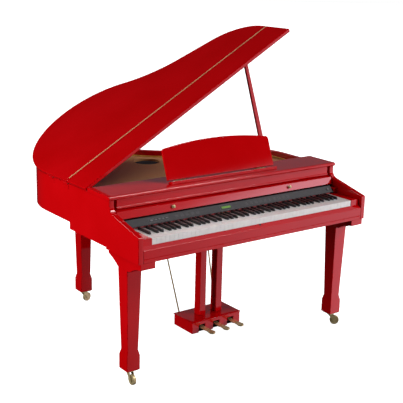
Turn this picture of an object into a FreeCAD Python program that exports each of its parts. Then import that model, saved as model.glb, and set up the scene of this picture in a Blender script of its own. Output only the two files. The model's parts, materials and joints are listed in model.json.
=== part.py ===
import FreeCAD, Part
import math
import os

import Sketcher
from FreeCAD import Placement, Rotation, Vector

# Digital baby grand piano: a parametric document of its separate pieces, in millimetres.
#
# While the pieces are made, x = 0 is the middle of the keyboard, y = 0 the front of the white keys and
# z = 0 the floor, with +x to the treble side, +y to the tail and +z up. At the end every piece is moved
# so that the origin is the middle of the whole piano's box on the floor.

SIZES = {
    # case, plan
    "case_half": 695, "side_wall": 27, "front_reach": 21, "joint_y": 590,
    "spine_end": 839, "tail_middle": -284, "tail_turn": 139.7,
    "waist_radius": 583, "waist_turn": 33.4, "shoulder_radius": 244,
    # case, heights
    "case_bottom": 628, "side_step": 8, "step_y": 250, "rim_bottom": 670, "case_top": 879,
    "top_thick": 19, "board_thick": 12, "keybed_thick": 17, "soundboard_top": 825, "beam_thick": 19,
    "beam_drop": 3, "trim_wide": 4, "trim_high": 8,
    # arms at the keyboard's ends
    "nose_height": 748.5, "arm_slope": 13.6, "nose_radius": 8, "arm_rise_y": 222, "arm_curve": 40,
    # fixed top panel, nameboard and music desk
    "panel_front": 213, "panel_back": 412, "overhang": 4,
    "nameboard_y": 225, "nameboard_inset": 14, "nameboard_bottom": 824, "moulding_drop": 9,
    "moulding_reach": 4, "nameboard_thick": 18,
    "desk_half": 330, "desk_side": 161, "desk_crown": 25, "desk_corner": 18, "desk_thick": 15,
    "desk_lean": 21.5, "desk_pivot_y": 300, "desk_pivot_up": 4.5, "desk_barrel": 4.3,
    "desk_hinge_x": 250, "desk_hinge_long": 60, "ledge_deep": 24.5, "ledge_high": 8, "ledge_lip": 4,
    "ledge_lip_up": 6, "desk_leaf_long": 18, "desk_leaf_thick": 1.5,
    # lid, flap and their hinges
    "lid_gap": 0.5, "flap_gap": 2.5, "lid_angle": 29.8, "flap_line": 591, "hinge_out": 3, "hinge_long": 60,
    "knuckle_radius": 2.6, "pin_radius": 1.2, "hinge_y_front": 625, "hinge_y_back": 772,
    "strip_wide": 12, "strip_thick": 1, "strip_barrel": 1.8, "strip_inset": 9, "leaf_thick": 1.5,
    "leaf_drop": 25,
    # prop stick
    "prop_side": 10, "prop_end": 20, "prop_clear": 0.3376, "prop_past": 84.9714, "prop_up": 18,
    "cup_inset": 182, "prop_top_y": 608,
    "prop_base": 13, "prop_tip": 8, "prop_thick": 16, "prop_gap": 5.4, "prop_pin": 3,
    "clevis_ear": 3, "cup_half": 10, "cup_wide": 9, "cup_high": 12, "cup_clear": 3,
    # keyboard
    "white_pitch": 23.5, "key_gap": 0.5, "key_top": 730, "key_deep": 30, "key_show": 150,
    "black_long": 95, "black_wide": 11, "black_slot": 13, "black_rise": 12, "black_tail_top": 725,
    "pivot_y": 225, "key_tail": 7, "slip_top": 702, "slip_front_top": 686,
    "slip_thick": 19, "groove_z": 645, "groove_deep": 2, "cheek_top": 731.5,
    # control panel
    "panel_inset": 28, "panel_y": 155, "panel_foot": 735, "panel_edge": 5, "panel_slope": 39.5,
    "panel_top": 766, "panel_rear": 200, "window_x": -69, "window_wide": 62, "window_high": 20,
    "power_x": -503, "select_x": -478, "select_pitch": 20, "volume_inset": 33, "button_proud": 1.5,
    "button_deep": 3.5, "pocket_deep": 6, "volume_shaft": 3, "volume_radius": 7, "volume_high": 5,
    # fallboard
    "lip_top_y": 206, "lip_top_z": 806, "lip_foot_y": 193, "lip_foot_z": 773, "board_slope": 12,
    "fallboard_long": 205, "fallboard_thick": 10, "fallboard_clear": 4, "knob_x": 362, "knob_z": 790,
    "knob_stem": 4, "knob_stem_long": 13, "knob_head": 8, "knob_head_long": 6, "knob_out": 6.5,
    "lip_thick": 11, "rail_wide": 18, "rail_high": 8,
    # legs and casters
    "leg_inset": 51, "leg_y": 128, "tail_leg_x": -312, "tail_leg_y": 1144, "leg_top_wide": 77,
    "leg_neck_wide": 58, "leg_foot_wide": 71, "leg_top_z": 565, "leg_cap": 15, "neck_z": 170,
    "foot_top": 143, "foot_bottom": 72, "knee_front": 598, "knee_rear": 608,
    "knee_inset": 19, "knee_front_radius": 160, "knee_rear_radius": 284,
    "plate_wide": 60, "plate_thick": 4, "swivel_radius": 5, "wheel_radius": 25, "wheel_wide": 18,
    "trail": 24, "axle_radius": 3, "cheek_thick": 3, "crown_radius": 18, "crown_thick": 8,
    "fork_end": 9,
    # lyre and pedals
    "lyre_half": 154, "lyre_front": 308, "lyre_rear": 469, "lyre_foot": 60, "lyre_top": 119,
    "lyre_cap": 8, "lyre_wall": 12, "post_inner": 33, "post_outer": 71.5, "post_front": 360,
    "post_rear": 407, "head_half": 110, "head_thick": 12, "rod_radius": 4, "flange_radius": 12,
    "flange_thick": 3, "rod_foot_x": 116, "rod_foot_z": 100, "rod_head_x": 151, "rod_head_y": 658,
    "pedal_pitch": 92, "pedal_wide": 22, "pedal_tip_y": 206, "pedal_tip_radius": 16,
    "pedal_thick": 8, "pedal_top": 92, "pedal_pivot_y": 430, "pedal_pin": 4, "pedal_boss": 9,
    "pedal_slot": 20, "pedal_room": 10,
    # speaker and electronics
    "speaker_x": -20, "speaker_y": 945, "speaker_radius": 70, "flange_wide": 10, "speaker_plate": 4,
    "basket_deep": 44, "magnet_deep": 64, "cone_deep": 34,
    # clearances
    "running": 0.05, "gap": 0.3,
}
WHITE_KEYS = 52
FIRST_C = 2
NATURAL_GROUPS = (("cde", 0), ("fgab", 3))
SHARPS = (("c_sharp", 0, 0), ("d_sharp", 0, 1), ("f_sharp", 3, 0), ("g_sharp", 3, 1), ("a_sharp", 3, 2))
SIDES = ((-1, "bass"), (1, "treble"))


class Size:
    """A number together with the sheet expression that gives it."""

    def __init__(self, value, text):
        self.value = value
        self.text = text

    def __add__(self, other):
        other = as_size(other)
        return Size(self.value + other.value, f"({self.text} + {other.text})")

    def __sub__(self, other):
        other = as_size(other)
        return Size(self.value - other.value, f"({self.text} - {other.text})")

    def __mul__(self, other):
        other = as_size(other)
        return Size(self.value * other.value, f"({self.text} * {other.text})")

    def __truediv__(self, other):
        other = as_size(other)
        return Size(self.value / other.value, f"({self.text} / {other.text})")

    def __radd__(self, other):
        return as_size(other) + self

    def __rsub__(self, other):
        return as_size(other) - self

    def __rmul__(self, other):
        return as_size(other) * self

    def __neg__(self):
        return as_size(0) - self


def as_size(number):
    """The number itself when it is a Size, or a plain number as one."""
    if isinstance(number, Size):
        return number
    return Size(float(number), f"({number})")


def cosine(angle):
    angle = as_size(angle)
    return Size(math.cos(math.radians(angle.value)), f"cos({angle.text})")


def sine(angle):
    angle = as_size(angle)
    return Size(math.sin(math.radians(angle.value)), f"sin({angle.text})")


def tangent(angle):
    angle = as_size(angle)
    return Size(math.tan(math.radians(angle.value)), f"tan({angle.text})")


def root(size):
    size = as_size(size)
    return Size(math.sqrt(size.value), f"sqrt({size.text})")


class Sheet:
    """The driving sizes, in a spreadsheet, each read as an attribute."""

    def __init__(self, sizes):
        self.cells = doc.addObject("Spreadsheet::Sheet", "Sizes")
        for row, (alias, number) in enumerate(sizes.items(), start=1):
            self.cells.set(f"A{row}", alias)
            self.cells.set(f"B{row}", str(number))
            self.cells.setAlias(f"B{row}", alias)
        doc.recompute()

    def __getattr__(self, alias):
        return Size(float(self.cells.get(alias)), f"Sizes.{alias}")


def bind(thing, setting, size):
    """Tie one setting of an object to the sheet."""
    thing.setExpression(setting, as_size(size).text)


def block(name, x, y, z):
    """A box between a low and a high value along each axis."""
    box = doc.addObject("Part::Box", name)
    for setting, letter, (low, high) in zip(("Length", "Width", "Height"), "xyz", (x, y, z)):
        bind(box, setting, as_size(high) - low)
        bind(box, f"Placement.Base.{letter}", low)
    return box


TURNS = {"x": Rotation(Vector(0, 1, 0), 90), "y": Rotation(Vector(1, 0, 0), -90), "z": Rotation()}


def place(thing, turn, x, y, z):
    """Turn an object and bind where its own origin goes."""
    thing.Placement = Placement(Vector(), turn)
    for letter, size in zip("xyz", (x, y, z)):
        bind(thing, f"Placement.Base.{letter}", size)


def rod(name, axis, radius, x, y, z, length):
    """A cylinder that starts at a point and runs along an axis, or along a turned z."""
    cylinder = doc.addObject("Part::Cylinder", name)
    bind(cylinder, "Radius", radius)
    bind(cylinder, "Height", length)
    place(cylinder, TURNS[axis] if isinstance(axis, str) else axis, x, y, z)
    return cylinder


def cone(name, low_radius, high_radius, x, y, z, height):
    """An upright cone frustum."""
    frustum = doc.addObject("Part::Cone", name)
    bind(frustum, "Radius1", low_radius)
    bind(frustum, "Radius2", high_radius)
    bind(frustum, "Height", height)
    place(frustum, TURNS["z"], x, y, z)
    return frustum


def fuse(name, *pieces):
    joined = doc.addObject("Part::MultiFuse", name)
    joined.Shapes = list(pieces)
    return joined


def cut(name, base, *tools):
    """The base with each tool taken out of it."""
    for number, tool in enumerate(tools):
        result = doc.addObject("Part::Cut", f"{name}_{number}")
        result.Base = base
        result.Tool = tool
        base = result
    return base


class Outline:
    """A closed outline of lines and arcs. A turn of 1 is an arc to the left, and -1 to the right."""

    def __init__(self, x, y):
        self.start = (as_size(x), as_size(y))
        self.here = self.start
        self.edges = []

    def line(self, x, y):
        return self.arc(x, y, None, 0)

    def arc(self, x, y, radius, turn):
        end = (as_size(x), as_size(y))
        self.edges.append((self.here, end, radius, turn))
        self.here = end
        return self

    def follow(self, edges):
        """Go to the start of a chain of edges, then along it."""
        x, y = edges[0][0]
        if math.dist([s.value for s in self.here], [x.value, y.value]) > 1e-6:
            self.line(x, y)
        self.edges.extend(edges)
        self.here = edges[-1][1]
        return self

    def close(self):
        return self.line(*self.start)


def backwards(edges):
    """The same chain of edges, followed the other way."""
    return [(end, start, radius, -turn) for start, end, radius, turn in reversed(edges)]


def arc_between(start, end, radius, turn):
    """The minor arc from start to end, and which of its two ends comes first in the sketch."""
    ax, ay = start[0].value, start[1].value
    bx, by = end[0].value, end[1].value
    half = math.dist((ax, ay), (bx, by)) / 2
    depth = math.sqrt(max(radius.value**2 - half**2, 0)) * turn
    centre_x = (ax + bx) / 2 - depth * (by - ay) / (2 * half)
    centre_y = (ay + by) / 2 + depth * (bx - ax) / (2 * half)
    from_angle = math.atan2(ay - centre_y, ax - centre_x)
    to_angle = math.atan2(by - centre_y, bx - centre_x)
    circle = Part.Circle(Vector(centre_x, centre_y, 0), Vector(0, 0, 1), radius.value)
    if turn > 0:
        return Part.ArcOfCircle(circle, from_angle, to_angle), (1, 2)
    return Part.ArcOfCircle(circle, to_angle, from_angle), (2, 1)


def arc_limit(edge, start, end, radius):
    """What sets an arc between its ends: its radius, or on a half circle one side of its centre."""
    across, up = (b.value - a.value for a, b in zip(start, end))
    if math.hypot(across, up) < 2 * radius.value - 1e-6:
        return Sketcher.Constraint("Radius", edge, radius.value), radius
    kind, axis = ("DistanceX", 0) if abs(up) > abs(across) else ("DistanceY", 1)
    middle = (start[axis] + end[axis]) / 2
    return Sketcher.Constraint(kind, -1, 1, edge, 3, middle.value), middle


def draw(sketch, outline):
    """Put an outline into a sketch, each corner and radius bound to the sheet."""
    ends = []
    for start, end, radius, turn in outline.edges:
        if radius is None:
            piece = Part.LineSegment(*(Vector(p[0].value, p[1].value, 0) for p in (start, end)))
            first_last = (1, 2)
        else:
            piece, first_last = arc_between(start, end, as_size(radius), turn)
        ends.append((sketch.addGeometry(piece, False), *first_last))
    limits = []
    for number, (edge, first, last) in enumerate(ends):
        following, next_first, _ = ends[(number + 1) % len(ends)]
        sketch.addConstraint(Sketcher.Constraint("Coincident", edge, last, following, next_first))
        start, end, radius, _ = outline.edges[number]
        for kind, size in zip(("DistanceX", "DistanceY"), start):
            limits.append((Sketcher.Constraint(kind, -1, 1, edge, first, size.value), size))
        if radius is not None:
            limits.append(arc_limit(edge, start, end, as_size(radius)))
    for constraint, size in limits:
        bind(sketch, f"Constraints[{sketch.addConstraint(constraint)}]", size)


def sketch_on(body, plane, name, height):
    """A sketch on one of the body's own planes, moved along the plane's normal."""
    sketch = body.newObject("Sketcher::SketchObject", name)
    support = next(f for f in body.Origin.OriginFeatures if f.Role == f"{plane}_Plane")
    sketch.AttachmentSupport = [(support, "")]
    sketch.MapMode = "FlatFace"
    bind(sketch, "AttachmentOffset.Base.z", height)
    return sketch


def pad(name, plane, outline, low, high, body=None):
    """Draw an outline on a plane (XY or YZ) and pad it from low to high along the plane's normal."""
    if body is None:
        body = doc.addObject("PartDesign::Body", name)
    sketch = sketch_on(body, plane, f"{name}_sketch", low)
    draw(sketch, outline)
    feature = body.newObject("PartDesign::Pad", f"{name}_pad")
    feature.Profile = sketch
    bind(feature, "Length", as_size(high) - low)
    body.Tip = feature
    return body


nodes = {}


def node(name, *pieces, at=Placement()):
    """One sub-part: its solids, under the name of its file. Its Placement is finished at the end."""
    compound = doc.addObject("Part::Compound", f"node_{name}")
    compound.Label = name
    compound.Links = list(pieces)
    nodes[name] = (compound, at)


def case_edges(offset, front):
    """The piano's plan from the front of the bass side round the tail to the front of the treble side.

    A straight spine, a round tail, a hollow waist, a straight and a round shoulder follow each other
    without a kink. Every edge is moved out by the offset.
    """
    spine_x = -s.case_half - offset
    middle_x = s.tail_middle
    tail_radius = s.case_half + s.tail_middle
    tail_angle = 180 - s.tail_turn
    tail_out = tail_radius + offset
    tail_end = (middle_x + tail_out * cosine(tail_angle), s.spine_end + tail_out * sine(tail_angle))
    both = tail_radius + s.waist_radius
    waist_x = middle_x + both * cosine(tail_angle)
    waist_y = s.spine_end + both * sine(tail_angle)
    waist_angle = tail_angle + s.waist_turn
    waist_in = s.waist_radius - offset
    waist_end = (waist_x - waist_in * cosine(waist_angle), waist_y - waist_in * sine(waist_angle))
    shoulder_x = s.case_half - s.shoulder_radius
    shoulder_out = s.shoulder_radius + offset
    run = shoulder_x + shoulder_out * cosine(waist_angle) - waist_end[0]
    shoulder_start = (waist_end[0] + run, waist_end[1] - run / tangent(waist_angle))
    shoulder_y = shoulder_start[1] - shoulder_out * sine(waist_angle)
    corners = [
        ((spine_x, as_size(front)), None, 0),
        ((spine_x, s.spine_end), tail_out, -1),
        (tail_end, waist_in, 1),
        (waist_end, None, 0),
        (shoulder_start, shoulder_out, -1),
        ((s.case_half + offset, shoulder_y), None, 0),
        ((s.case_half + offset, as_size(front)), None, 0),
    ]
    return [(a[0], b[0], a[1], a[2]) for a, b in zip(corners, corners[1:])]


def prop_foot():
    """Where the prop stick's plate stands, a little past the shoulder's start, to clear the trim."""
    hollow = s.shoulder_radius - s.side_wall - s.trim_wide
    beyond = s.prop_past + s.prop_end
    reach = root(hollow * hollow - beyond * beyond)
    x = s.case_half - s.shoulder_radius + reach - s.prop_side - s.prop_clear
    return x, case_edges(0, 0)[4][1][1] + s.prop_past


def case_slab(name, offset, front, low, high):
    """A flat board that fills the piano's plan behind a straight front edge."""
    edges = case_edges(offset, front)
    outline = Outline(*edges[0][0]).follow(edges).close()
    return pad(name, "XY", outline, low, high)


def case_band(name, outer, inner, front, low, high):
    """A wall that follows the plan between two offsets, open at the front."""
    outside = case_edges(outer, front)
    inside = backwards(case_edges(inner, front))
    outline = Outline(*outside[0][0]).follow(outside).follow(inside).close()
    return pad(name, "XY", outline, low, high)


def make_side_panels():
    """The two straight sides with the keyboard arms in one piece, rounded noses and hollow risers."""
    top = side_top
    corner = s.nose_radius * tangent((90 - s.arm_slope) / 2)
    curve = s.arm_curve * tangent((90 - s.arm_slope) / 2)
    bend_z = s.nose_height + (s.arm_rise_y + s.front_reach) * tangent(s.arm_slope)
    outline = Outline(-s.front_reach, s.case_bottom)
    outline.line(-s.front_reach, s.nose_height - corner)
    outline.arc(
        corner * cosine(s.arm_slope) - s.front_reach,
        s.nose_height + corner * sine(s.arm_slope), s.nose_radius, -1,
    )
    outline.line(s.arm_rise_y - curve * cosine(s.arm_slope), bend_z - curve * sine(s.arm_slope))
    outline.arc(s.arm_rise_y, bend_z + curve, s.arm_curve, 1)
    outline.line(s.arm_rise_y, top)
    outline.line(s.joint_y, top)
    outline.line(s.joint_y, s.case_bottom + s.side_step)
    outline.line(s.step_y, s.case_bottom + s.side_step)
    outline.line(s.step_y, s.case_bottom)
    outline.close()
    node("bass_side_panel", pad("bass_side", "YZ", outline, -s.case_half, -inside))
    node("treble_side_panel", pad("treble_side", "YZ", outline, inside, s.case_half))


def make_case():
    """The bent rim, the boards that close the case below and the beams across it."""
    floor = s.case_bottom + s.keybed_thick
    node("bent_rim", case_band("rim", 0, -s.side_wall, s.joint_y, s.rim_bottom, side_top))
    node("keybed", block("keybed", (-inside, inside), (0, s.joint_y), (s.case_bottom, floor)))
    node("bottom_board", case_slab(
        "bottom", -s.side_wall, s.joint_y, s.rim_bottom, s.rim_bottom + s.board_thick))
    board_foot = s.soundboard_top - s.board_thick
    beam_back = s.panel_back + s.beam_thick
    front_beam = block(
        "front_beam", (-inside, inside), (s.panel_back, beam_back), (floor, side_top - s.beam_drop))
    rear_beam = block(
        "rear_beam", (-inside, inside), (s.joint_y - s.beam_thick, s.joint_y), (floor, board_foot))
    node("case_beams", front_beam, rear_beam)
    board = case_slab("soundboard", -s.side_wall, beam_back, board_foot, s.soundboard_top)
    hole = rod(
        "speaker_hole", "z", s.speaker_radius, s.speaker_x, s.speaker_y, board_foot - 1,
        s.board_thick + 2)
    node("soundboard", cut("holed_soundboard", board, hole))
    node("rim_trim", case_band(
        "trim", -s.side_wall, -s.side_wall - s.trim_wide, beam_back, s.soundboard_top,
        s.soundboard_top + s.trim_high))


def make_electronics():
    """The speaker under the soundboard, the sound module in the case and the mains inlet behind."""
    foot = s.soundboard_top - s.board_thick
    x, y = s.speaker_x, s.speaker_y
    plate = s.speaker_plate
    basket_low, magnet_low, cone_low = foot - s.basket_deep, foot - s.magnet_deep, foot - s.cone_deep
    flange = rod("speaker_flange", "z", s.speaker_radius + s.flange_wide, x, y, foot - plate, plate)
    basket = cone(
        "speaker_basket", s.speaker_radius * 0.5, s.speaker_radius, x, y, basket_low,
        s.basket_deep - plate + 1)
    magnet = rod(
        "speaker_magnet", "z", s.speaker_radius * 0.6, x, y, magnet_low, basket_low - magnet_low + 1)
    hollow = cone(
        "speaker_cone", s.speaker_radius * 0.3, s.speaker_radius - 6, x, y, cone_low, s.cone_deep + 1)
    node("speaker", cut("speaker_body", fuse("speaker_solid", flange, basket, magnet), hollow))
    floor = s.case_bottom + s.keybed_thick
    board = block("sound_board", (-200, 60), (300, 400), (floor, floor + 30))
    supply = block("power_supply", (-420, -260), (300, 380), (floor, floor + 45))
    inlet = block("inlet_shell", (-330, -290), (s.joint_y, s.joint_y + 12), (floor, floor + 24))
    socket = block("inlet_socket", (-322, -298), (s.joint_y + 4, s.joint_y + 13), (floor + 4, floor + 20))
    node("electronics", board, supply, cut("inlet", inlet, socket))


def make_top_panel():
    """The fixed panel over the keyboard with its round front edge, and the music desk's ledge."""
    half = s.case_half + s.overhang
    nose = s.top_thick / 2
    outline = Outline(s.panel_back, side_top)
    outline.line(s.panel_front + nose, side_top)
    outline.arc(s.panel_front + nose, s.case_top, nose, -1)
    outline.line(s.panel_back, s.case_top)
    outline.close()
    ledge_back = s.desk_pivot_y - s.desk_thick + 1.5
    ledge_front = ledge_back - s.ledge_deep
    shelf = block(
        "ledge_shelf", (-s.desk_half, s.desk_half), (ledge_front, ledge_back),
        (s.case_top, s.case_top + s.ledge_high))
    lip = block(
        "ledge_lip", (-s.desk_half, s.desk_half), (ledge_front, ledge_front + s.ledge_lip),
        (s.case_top, s.case_top + s.ledge_high + s.ledge_lip_up))
    node("top_panel", pad("top_slab", "YZ", outline, -half, half), fuse("ledge", shelf, lip))


def make_nameboard():
    """The bare board below the top panel with a moulding along its lower edge."""
    half = inside - s.nameboard_inset
    back = s.nameboard_y + s.nameboard_thick
    board = block("name_board", (-half, half), (s.nameboard_y, back), (s.nameboard_bottom, side_top))
    moulding = block(
        "moulding", (-half, half), (s.nameboard_y - s.moulding_reach, back),
        (s.nameboard_bottom - s.moulding_drop, s.nameboard_bottom))
    node("nameboard", fuse("nameboard_solid", board, moulding))


def make_desk():
    """The music desk, a plate with an arched top edge that leans back on two barrel hinges."""
    bottom = s.desk_barrel + 0.5
    shoulder = s.desk_half - s.desk_corner
    arch = (shoulder * shoulder + s.desk_crown * s.desk_crown) / (2 * s.desk_crown)
    outline = Outline(-s.desk_half, bottom)
    outline.line(-s.desk_half, s.desk_side - s.desk_corner)
    outline.arc(-shoulder, s.desk_side, s.desk_corner, -1)
    outline.arc(shoulder, s.desk_side, arch, -1)
    outline.arc(s.desk_half, s.desk_side - s.desk_corner, s.desk_corner, -1)
    outline.line(s.desk_half, bottom)
    outline.close()
    plate = pad("desk_plate", "XY", outline, 0, s.desk_thick)
    pivot_z = s.case_top + s.desk_pivot_up
    where = Vector(0, s.desk_pivot_y.value, pivot_z.value)
    node("music_desk", plate, at=Placement(where, Rotation(Vector(1, 0, 0), 90 - s.desk_lean.value)))
    hinges = []
    for side, end in SIDES:
        middle = side * s.desk_hinge_x
        reach = s.desk_hinge_long / 2
        barrel = rod(
            f"desk_barrel_{end}", "x", s.desk_barrel, middle - reach, s.desk_pivot_y, pivot_z,
            s.desk_hinge_long)
        leaf = block(
            f"desk_leaf_{end}", (middle - reach, middle + reach),
            (s.desk_pivot_y, s.desk_pivot_y + s.desk_leaf_long),
            (s.case_top, s.case_top + s.desk_leaf_thick))
        hinges.append(fuse(f"desk_hinge_{end}", barrel, leaf))
    node("desk_hinges", *hinges)


def lid_placement():
    """Turns what is made on the closed lid up to the propped angle, about the hinge line."""
    hinge = Vector(hinge_x.value, 0, side_top.value)
    turn = Rotation(Vector(0, -1, 0), s.lid_angle.value)
    return Placement(hinge, turn) * Placement(-hinge, Rotation())


def make_lid():
    """The lid in two leaves, joined by a brass strip hinge across the top."""
    bottom = side_top + s.lid_gap
    half = s.case_half + s.overhang
    raised = lid_placement()
    main = case_slab("lid_slab", s.overhang, s.flap_line + s.gap, bottom, s.case_top)
    node("lid_main", main, at=raised)
    flap = block(
        "flap_slab", (-half, half), (s.panel_back + s.flap_gap, s.flap_line - s.gap),
        (bottom, s.case_top))
    node("lid_flap", flap, at=raised)
    strip_half = half - s.strip_inset
    strip_top = s.case_top + s.strip_thick
    axis_z = s.case_top + s.strip_barrel + 0.1
    strip = block(
        "main_strip", (-strip_half, strip_half), (s.flap_line, s.flap_line + s.strip_wide),
        (s.case_top, strip_top))
    barrel = rod(
        "strip_barrel", "x", s.strip_barrel, -strip_half, s.flap_line, axis_z, 2 * strip_half)
    leaves = [fuse("strip_hinge", strip, barrel)]
    for end, middle in (("front", s.hinge_y_front), ("back", s.hinge_y_back)):
        leaves.append(lid_leaf(end, middle))
    node("lid_brass_hinges", *leaves, at=raised)
    near = s.flap_line - s.strip_barrel - s.gap
    flap_strip = block(
        "flap_strip", (-strip_half, strip_half), (near - s.strip_wide, near),
        (s.case_top, strip_top))
    node("flap_hinge_leaf", flap_strip, at=raised)
    cup_x = hinge_x + prop_reach
    cup_y = s.prop_top_y + s.prop_thick / 2 + s.cup_clear
    cup = block(
        "cup_block", (cup_x - s.cup_half, cup_x + s.cup_half), (cup_y, cup_y + s.cup_wide),
        (bottom - s.cup_high, bottom))
    node("prop_cup", cup, at=raised)


def lid_leaf(end, middle):
    """The leaf of a side hinge that is screwed to the lid's edge, with the middle knuckle."""
    edge = -s.case_half - s.overhang
    face = edge - 1.3
    reach = s.hinge_long / 2
    knuckle = reach / 3 - s.gap
    plate = block(
        f"lid_leaf_{end}", (face, edge), (middle - reach, middle + reach),
        (side_top + 3, s.case_top - 1))
    tongue = block(
        f"lid_tongue_{end}", (face, edge), (middle - knuckle, middle + knuckle),
        (side_top + s.lid_gap, side_top + 3))
    barrel = rod(
        f"lid_knuckle_{end}", "y", s.knuckle_radius, hinge_x, middle - knuckle, side_top, 2 * knuckle)
    bore = rod(
        f"lid_bore_{end}", "y", s.pin_radius + s.running, hinge_x, middle - knuckle - 1, side_top,
        2 * knuckle + 2)
    return cut(f"lid_hinge_{end}", fuse(f"lid_hinge_solid_{end}", plate, tongue, barrel), bore)


def make_case_hinges():
    """The leaves of the side hinges on the case, with two knuckles and the pin each."""
    reach = s.hinge_long / 2
    inner = reach / 3
    side = -s.case_half
    hinges = []
    for end, middle in (("front", s.hinge_y_front), ("back", s.hinge_y_back)):
        pieces = [block(
            f"case_leaf_{end}", (side - s.leaf_thick, side), (middle - reach, middle + reach),
            (side_top - s.leaf_drop, side_top - 0.1))]
        pieces.append(rod(
            f"hinge_pin_{end}", "y", s.pin_radius, hinge_x, middle - reach, side_top, s.hinge_long))
        for place_name, low in (("low", middle - reach), ("high", middle + inner)):
            pieces.append(rod(
                f"case_knuckle_{end}_{place_name}", "y", s.knuckle_radius, hinge_x, low, side_top,
                reach - inner))
            pieces.append(block(
                f"case_web_{end}_{place_name}", (hinge_x + 1, side), (low, low + reach - inner),
                (side_top - 2.5, side_top - 0.1)))
        hinges.append(fuse(f"case_hinge_{end}", *pieces))
    node("lid_case_hinges", *hinges)


def prop_frame():
    """Where the prop stick stands: local x along it, local z along its pivot; and its length."""
    base = Vector(prop_x.value, prop_y.value, prop_z.value)
    reach, angle = prop_reach.value, math.radians(s.lid_angle.value)
    top = Vector(
        hinge_x.value + reach * math.cos(angle), s.prop_top_y.value,
        side_top.value + reach * math.sin(angle))
    along = top - base
    length = along.Length
    along.normalize()
    pivot = Vector(1, 0, 0).cross(along)
    pivot.normalize()
    return Placement(base, Rotation(along, pivot.cross(along), pivot, "ZXY")), length


def make_prop():
    """The tapered stick that holds the lid up, and the brass clevis on the soundboard it turns in."""
    stands, length = prop_frame()
    tip = length - s.prop_gap.value
    outline = Outline(0, s.prop_base).line(tip, s.prop_tip).line(tip, -s.prop_tip)
    outline.line(0, -s.prop_base).arc(0, s.prop_base, s.prop_base, -1)
    half = s.prop_thick / 2
    stick = pad("prop_stick", "XY", outline, -half, half)
    bore = rod("prop_bore", "z", s.prop_pin + s.running, 0, 0, -half - 1, s.prop_thick + 2)
    node("prop_stick", cut("bored_prop", stick, bore), at=stands)
    ear = s.clevis_ear
    ears = []
    for name, low in (("near", half + s.gap), ("far", -half - s.gap - ear)):
        ears.append(block(f"prop_ear_{name}", (-25, 8), (-4, 12), (low, low + ear)))
    pin_half = half + s.gap + ear
    ears.append(rod("prop_pin", "z", s.prop_pin, 0, 0, -pin_half, 2 * pin_half))
    clevis = fuse("prop_clevis", *ears)
    clevis.Placement = stands
    above = block(
        "above_soundboard", (prop_x - 60, prop_x + 60), (prop_y - 60, prop_y + 60),
        (s.soundboard_top, s.soundboard_top + 60))
    plate = block(
        "prop_plate", (prop_x - 22, prop_x + s.prop_side),
        (prop_y - s.prop_end, prop_y + s.prop_end),
        (s.soundboard_top, s.soundboard_top + 2.5))
    trimmed = doc.addObject("Part::Common", "trimmed_clevis")
    trimmed.Base = clevis
    trimmed.Tool = above
    node("prop_bracket", fuse("prop_bracket_solid", trimmed, plate))


def make_key_surround():
    """The key slip in front of the keys and the cheek blocks at their ends."""
    half = inside - s.gap
    front = -s.front_reach
    back = front + s.slip_thick
    groove = s.groove_deep
    outline = Outline(front, s.case_bottom).line(front, s.groove_z - groove)
    outline.line(front + groove, s.groove_z).line(front, s.groove_z + groove)
    outline.line(front, s.slip_front_top).line(back, s.slip_top).line(back, s.case_bottom).close()
    slip = pad("slip", "YZ", outline, -half, half)
    floor = s.case_bottom + s.keybed_thick
    cheeks = []
    inner = keyboard_half + 0.8
    for side, end in SIDES:
        lows = [side * inner, side * inside] if side > 0 else [side * inside, side * inner]
        ears = [side * (panel_half + s.gap), side * inside]
        ears = ears if side > 0 else ears[::-1]
        lower = block(f"cheek_{end}", lows, (back, s.panel_y), (floor, s.cheek_top))
        upper = block(f"cheek_ear_{end}", ears, (s.panel_y, s.panel_rear), (floor, s.panel_top - 8))
        cheeks.append(fuse(f"cheek_block_{end}", lower, upper))
    node("key_slip_and_cheeks", slip, *cheeks)


def make_key_frame():
    """The wooden frame that carries the keys at their rear pivots, and the red felt behind them."""
    floor = s.case_bottom + s.keybed_thick
    half = keyboard_half - 6
    rails = [
        block("front_rail", (-half, half), (12, 40), (floor, s.key_top - s.key_deep - 14)),
        block(
            "pivot_rail", (-half, half), (s.pivot_y - 3, s.pivot_y + 15),
            (floor, s.key_top - s.key_deep - s.gap)),
    ]
    for number in range(5):
        middle = half * (number - 2) / 2 * 0.96
        rails.append(block(
            f"cross_rail_{number}", (middle - 15, middle + 15), (40, s.pivot_y), (floor, floor + 10)))
    node("key_frame", fuse("key_frame_solid", *rails))
    felt = block(
        "felt_strip", (-keyboard_half, keyboard_half), (s.panel_y - 3.5, s.panel_y),
        (s.panel_foot - 2, s.panel_foot + 3))
    node("key_felt", felt)


def white_key(position, count, first, whole_left=False, whole_right=False):
    """The plan of one white key at its first place: a wide front and a tail between black keys."""
    start = keyboard_left + first * s.white_pitch
    group_left = start - position * s.white_pitch
    tail = (count * s.white_pitch - (count - 1) * s.black_slot) / count
    inset = s.key_gap / 2
    left, right = start + inset, start + s.white_pitch - inset
    tail_left = group_left + position * (tail + s.black_slot)
    tail_right = tail_left + tail
    notch = s.key_show - s.black_long - 1
    rear = s.pivot_y + s.key_tail
    outline = Outline(left, 0).line(right, 0)
    if position < count - 1 and not whole_right:
        outline.line(right, notch).line(tail_right, notch).line(tail_right, rear)
    else:
        outline.line(right, rear)
    if position > 0 and not whole_left:
        outline.line(tail_left, rear).line(tail_left, notch).line(left, notch)
    else:
        outline.line(left, rear)
    return outline.close()


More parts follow.
